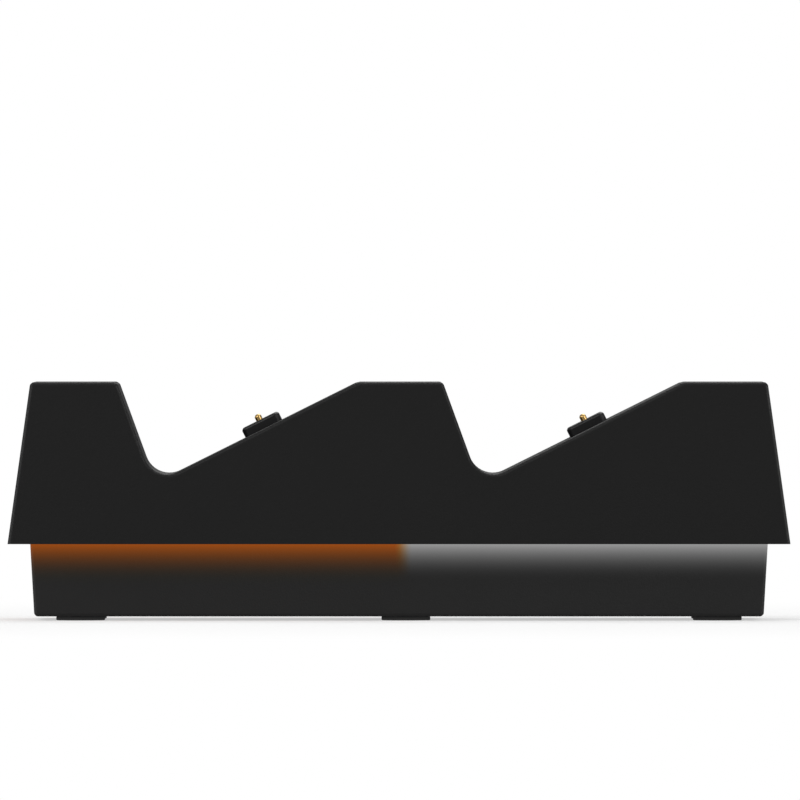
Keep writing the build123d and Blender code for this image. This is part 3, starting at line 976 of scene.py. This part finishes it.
def ribbon_plug(node, away):
    """A nylon plug with a row of windows over its crimped contacts, on the side away from the board."""
    bm = merged_copy(node)
    low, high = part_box(node)
    middle = (low + high) / 2
    windows = [(step - (PLUG_WINDOWS - 1) / 2) * WINDOW_PITCH for step in range(PLUG_WINDOWS)]
    for edge in (-WINDOW_LENGTH / 2, WINDOW_LENGTH / 2):
        cut(bm, ALONG * (middle.x + edge), ALONG, facing(bm, away))
    for window in windows:
        for edge in (window - WINDOW_WIDTH / 2, window + WINDOW_WIDTH / 2):
            cut(bm, ACROSS * (middle.y + edge), ACROSS, facing(bm, away))
    openings = []
    for face in facing(bm, away):
        place = face.calc_center_median() - middle
        on_window = any(abs(place.y - window) < WINDOW_WIDTH / 2 for window in windows)
        if on_window and abs(place.x) < WINDOW_LENGTH / 2:
            openings.append(face)
    for face in sink(bm, openings, WINDOW_SLOPE, WINDOW_DEPTH):
        face.material_index = SECOND_FINISH
    join_flat_faces(bm)
    round_edges(bm, PLUG_ROUNDING, SQUARE_ANGLES, FINE_STEPS)
    stand_for(node, bm, "_detailed", finishes["contact_gold"])


def ribbon_lead(node):
    """A flat lead with a groove on both sides between its cores."""
    bm = merged_copy(node)
    low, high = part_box(node)
    core = (high.y - low.y) / RIBBON_CORES
    for step in range(1, RIBBON_CORES):
        groove = low.y + core * step
        for edge in (groove - GROOVE_WIDTH / 2, groove, groove + GROOVE_WIDTH / 2):
            cut(bm, ACROSS * edge, ACROSS)
        bm.normal_update()
        for vert in bm.verts:
            if abs(vert.co.y - groove) < MERGE_DISTANCE:
                vert.co -= vert.normal * GROOVE_DEPTH
    stand_for(node, bm, "_detailed")


def screw_body(bm, radius, length):
    """Turn a pan-headed screw about its axis, with the flat of its head at the origin and its tip up."""
    profile = [
        (0, 0),
        (radius * HEAD_FLAT_SHARE, 0),
        (radius * HEAD_SHOULDER_SHARE, HEAD_CROWN),
        (radius, HEAD_EDGE),
        (radius, HEAD_HEIGHT),
        (SCREW_CORE_RADIUS, HEAD_HEIGHT),
        (SCREW_CORE_RADIUS, length - SCREW_TIP_LENGTH),
        (SCREW_TIP_RADIUS, length),
        (0, length),
    ]
    points = [bm.verts.new((out, 0, height)) for out, height in profile]
    edges = [bm.edges.new(pair) for pair in zip(points, points[1:])]
    bmesh.ops.spin(
        bm, geom=points + edges, cent=(0, 0, 0), axis=UP, angle=2 * pi, steps=SCREW_STEPS, use_merge=True
    )
    bmesh.ops.remove_doubles(bm, verts=bm.verts, dist=MERGE_DISTANCE)
    bmesh.ops.recalc_face_normals(bm, faces=bm.faces)
    join_flat_faces(bm)


def cross_recess(bm):
    """Sink a cross into the flat of the screw's head."""
    for half in (RECESS_WIDTH / 2, RECESS_LENGTH / 2):
        for edge in (-half, half):
            for axis in (ALONG, ACROSS):
                flat = [face for face in facing(bm, -UP) if face.calc_center_median().z < HEAD_CROWN / 2]
                cut(bm, axis * edge, axis, flat)
    cross = []
    for face in facing(bm, -UP):
        place = face.calc_center_median()
        near, far = sorted((abs(place.x), abs(place.y)))
        if place.z < HEAD_CROWN / 2 and near < RECESS_WIDTH / 2 and far < RECESS_LENGTH / 2:
            cross.append(face)
    sink(bm, cross, RECESS_SLOPE, RECESS_DEPTH)
    join_flat_faces(bm)


def screw_thread(bm, length):
    """Wind a ridge up the shank."""
    start = HEAD_HEIGHT + THREAD_START
    turns = int((length - SCREW_TIP_LENGTH - start) / THREAD_PITCH)
    ridge = [
        (SCREW_CORE_RADIUS - THREAD_ROOT / 2, start),
        (SCREW_CREST_RADIUS, start + THREAD_ROOT),
        (SCREW_CORE_RADIUS - THREAD_ROOT / 2, start + 2 * THREAD_ROOT),
    ]
    points = [bm.verts.new((out, 0, height)) for out, height in ridge]
    edges = [bm.edges.new(pair) for pair in zip(points[-1:] + points[:-1], points)]
    bmesh.ops.spin(
        bm,
        geom=points + edges,
        cent=(0, 0, 0),
        axis=UP,
        dvec=UP * (THREAD_PITCH / SCREW_STEPS),
        angle=2 * pi * turns,
        steps=SCREW_STEPS * turns,
    )
    bmesh.ops.holes_fill(bm, edges=[edge for edge in bm.edges if edge.is_boundary])
    bmesh.ops.recalc_face_normals(bm, faces=bm.faces)


def housing_screws(node):
    """Two pan-headed screws with a cross recess and a thread."""
    low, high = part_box(node)
    radius = (high.x - low.x) / 2
    length = high.z - low.z
    bm = bmesh.new()
    screw_body(bm, radius, length)
    cross_recess(bm)
    screw_thread(bm, length)
    foot = Vector((low.x + radius, low.y + radius, low.z))
    bmesh.ops.translate(bm, verts=bm.verts, vec=foot)
    first = [*bm.verts, *bm.edges, *bm.faces]
    second = bmesh.ops.duplicate(bm, geom=first)["geom"]
    moved = [part for part in second if isinstance(part, bmesh.types.BMVert)]
    bmesh.ops.translate(bm, verts=moved, vec=ACROSS * (high.y - low.y - 2 * radius))
    stand_for(node, bm, "_detailed")


# Every solid gets its finish, and a piece with softened edges and finer detail then stands for it
for node, solid in nodes.items():
    solid.data.materials.clear()
    solid.data.materials.append(finishes[slot_of[node]])

dress("top_shell", HOUSING_ROUNDING, CHAMFER_ANGLES, FINE_STEPS)
dress("base_tub", HOUSING_ROUNDING, CHAMFER_ANGLES, FINE_STEPS)
dress("power_jack", INLET_ROUNDING, SQUARE_ANGLES, SOFT_STEPS)
dress("jack_pin", PIN_ROUNDING, CHAMFER_ANGLES, TURNED_STEPS)
for row in FOOT_ROWS:
    for hand in HANDS:
        rubber_foot(f"foot_{row}_{hand}")
for end in ENDS:
    dress(f"light_guide_{end}", GUIDE_ROUNDING, SQUARE_ANGLES, FINE_STEPS)
    dress(f"contact_block_{end}", BLOCK_ROUNDING, CHAMFER_ANGLES, FINE_STEPS)
    outward = Vector(mounts[f"bay_{end}"]["axis"])
    for hand in HANDS:
        dress(f"contact_pin_{end}_{hand}", PIN_ROUNDING, CHAMFER_ANGLES, TURNED_STEPS)
        spring = dress(f"leaf_spring_{end}_{hand}", SPRING_ROUNDING, SQUARE_ANGLES, FINE_STEPS)
        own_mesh(spring)
    for number in range(1, LAMPS_PER_END + 1):
        status_lamp(f"status_led_{end}_{number}", lenses[end])
    circuit_board(f"contact_board_{end}", outward)
    charger_chip(f"charger_chip_{end}")
    power_inductor(f"inductor_{end}")
    ribbon_plug(f"contact_header_{end}", UP)
    ribbon_lead(f"contact_ribbon_{end}")
circuit_board("main_board", UP)
chip_capacitor("smoothing_capacitor")
ribbon_plug("power_header", -UP)
ribbon_lead("supply_ribbon")
housing_screws("housing_screws")


def in_mirrors(tree, ray):
    """One on a ray that comes by way of a shiny or clear surface, and zero on any other."""
    either = {0: ray.outputs["Is Glossy Ray"], 1: ray.outputs["Is Transmission Ray"]}
    return add_node(tree, "Math", either, operation="ADD", use_clamp=True).outputs[0]


def stage_floor():
    """Pale floor that keeps the shadow near the object and fades into the white background further off."""
    bm = bmesh.new()
    bmesh.ops.create_grid(bm, x_segments=1, y_segments=1, size=FLOOR_HALF_SIDE)
    bmesh.ops.translate(bm, verts=bm.verts, vec=(0, 0, -FLOOR_GAP))
    mesh = bpy.data.meshes.new("floor")
    bm.to_mesh(mesh)
    bm.free()
    floor = bpy.data.objects.new("floor", mesh)
    bpy.context.scene.collection.objects.link(floor)
    made = bpy.data.materials.new("pale_studio_floor")
    made.use_nodes = True
    tree = made.node_tree
    tree.nodes.clear()
    ray = add_node(tree, "LightPath")
    place = add_node(tree, "TexCoord").outputs["Object"]
    distance = add_node(tree, "VectorMath", {0: place}, operation="LENGTH")
    fade = {
        "From Min": FLOOR_FADE_START,
        "From Max": FLOOR_FADE_END,
        "To Min": FLOOR_WHITE_NEAR,
        "To Max": FULL_WHITE,
    }
    far = add_node(
        tree, "MapRange", {"Value": distance.outputs["Value"], **fade}, interpolation_type="SMOOTHSTEP"
    )
    mirrored = in_mirrors(tree, ray)
    dimmed = add_node(tree, "Math", {0: mirrored, 1: FLOOR_MIRRORED}, operation="MULTIPLY")
    seen = {0: ray.outputs["Is Camera Ray"], 1: dimmed.outputs[0]}
    shown = add_node(tree, "Math", seen, operation="ADD", use_clamp=True)
    share = add_node(tree, "Math", {0: shown.outputs[0], 1: far.outputs["Result"]}, operation="MULTIPLY")
    tone = add_node(
        tree,
        "Mix",
        {
            MIX_SHARE: ray.outputs["Is Camera Ray"],
            MIX_COLOUR_A: linear(FLOOR_COLOUR_MIRRORED),
            MIX_COLOUR_B: linear(FLOOR_COLOUR),
        },
        data_type="RGBA",
    )
    matt = add_node(tree, "BsdfDiffuse", {"Color": tone.outputs[MIXED_COLOUR]})
    white = add_node(tree, "Emission", {"Color": linear(STUDIO_WHITE), "Strength": FULL_WHITE})
    blend = add_node(tree, "MixShader", {0: share.outputs[0], 1: matt.outputs[0], 2: white.outputs[0]})
    bounce = add_node(tree, "Emission", {"Color": linear(STUDIO_WHITE), "Strength": FLOOR_BOUNCE})
    matt_ray = ray.outputs["Is Diffuse Ray"]
    lit = add_node(tree, "MixShader", {0: matt_ray, 1: blend.outputs[0], 2: bounce.outputs[0]})
    below = add_node(tree, "NewGeometry").outputs["Backfacing"]
    clear = add_node(tree, "BsdfTransparent")
    one_sided = add_node(tree, "MixShader", {0: below, 1: lit.outputs[0], 2: clear.outputs[0]})
    add_node(tree, "OutputMaterial", {"Surface": one_sided.outputs[0]})
    mesh.materials.append(made)


def studio_world():
    """White all round to the eye, a dimmer grey in reflections and an even, low light on the object."""
    world = bpy.data.worlds.new("studio")
    bpy.context.scene.world = world
    world.use_nodes = True
    tree = world.node_tree
    tree.nodes.clear()
    ray = add_node(tree, "LightPath")
    mirrored = in_mirrors(tree, ray)
    room = {MIX_NUMBER_A: ROOM_LIGHT, MIX_NUMBER_B: ROOM_MIRRORED}
    level = add_node(tree, "Mix", {MIX_SHARE: mirrored, **room})
    seen = {MIX_NUMBER_A: level.outputs[MIXED_NUMBER], MIX_NUMBER_B: FULL_WHITE}
    strength = add_node(tree, "Mix", {MIX_SHARE: ray.outputs["Is Camera Ray"], **seen})
    light = {"Color": linear(STUDIO_WHITE), "Strength": strength.outputs[MIXED_NUMBER]}
    sky = add_node(tree, "Background", light)
    add_node(tree, "OutputWorld", {"Surface": sky.outputs[0]})


def softbox(name, place, side, watts):
    """A square softbox at a place, turned to the dock."""
    data = bpy.data.lights.new(name, "AREA")
    data.shape = "SQUARE"
    data.size = side
    data.energy = watts
    lamp = bpy.data.objects.new(name, data)
    lamp.location = place
    lamp.rotation_euler = (Vector(LIT_POINT) - Vector(place)).to_track_quat("-Z", "Y").to_euler()
    bpy.context.scene.collection.objects.link(lamp)


def photo_camera():
    """Camera opposite the near side, at the photograph's scale, looking down very slightly."""
    data = bpy.data.cameras.new("camera")
    data.sensor_fit = "HORIZONTAL"
    data.sensor_width = SENSOR_WIDTH_MM
    field = PICTURE_SIDE_PX / NEAR_FACE_PX_PER_MM * MM
    data.lens = SENSOR_WIDTH_MM * CAMERA_DISTANCE / field
    camera = bpy.data.objects.new("camera", data)
    camera.location = (CAMERA_ASIDE, near_y - CAMERA_DISTANCE, CAMERA_HEIGHT)
    aim = Vector((CAMERA_ASIDE, near_y, AIM_HEIGHT))
    camera.rotation_euler = (aim - camera.location).to_track_quat("-Z", "Y").to_euler()
    bpy.context.scene.collection.objects.link(camera)
    bpy.context.scene.camera = camera


stage_floor()
studio_world()
for name, (place, side, watts) in SOFTBOXES.items():
    softbox(name, place, side, watts)
photo_camera()
bpy.context.scene.view_settings.view_transform = "Standard"
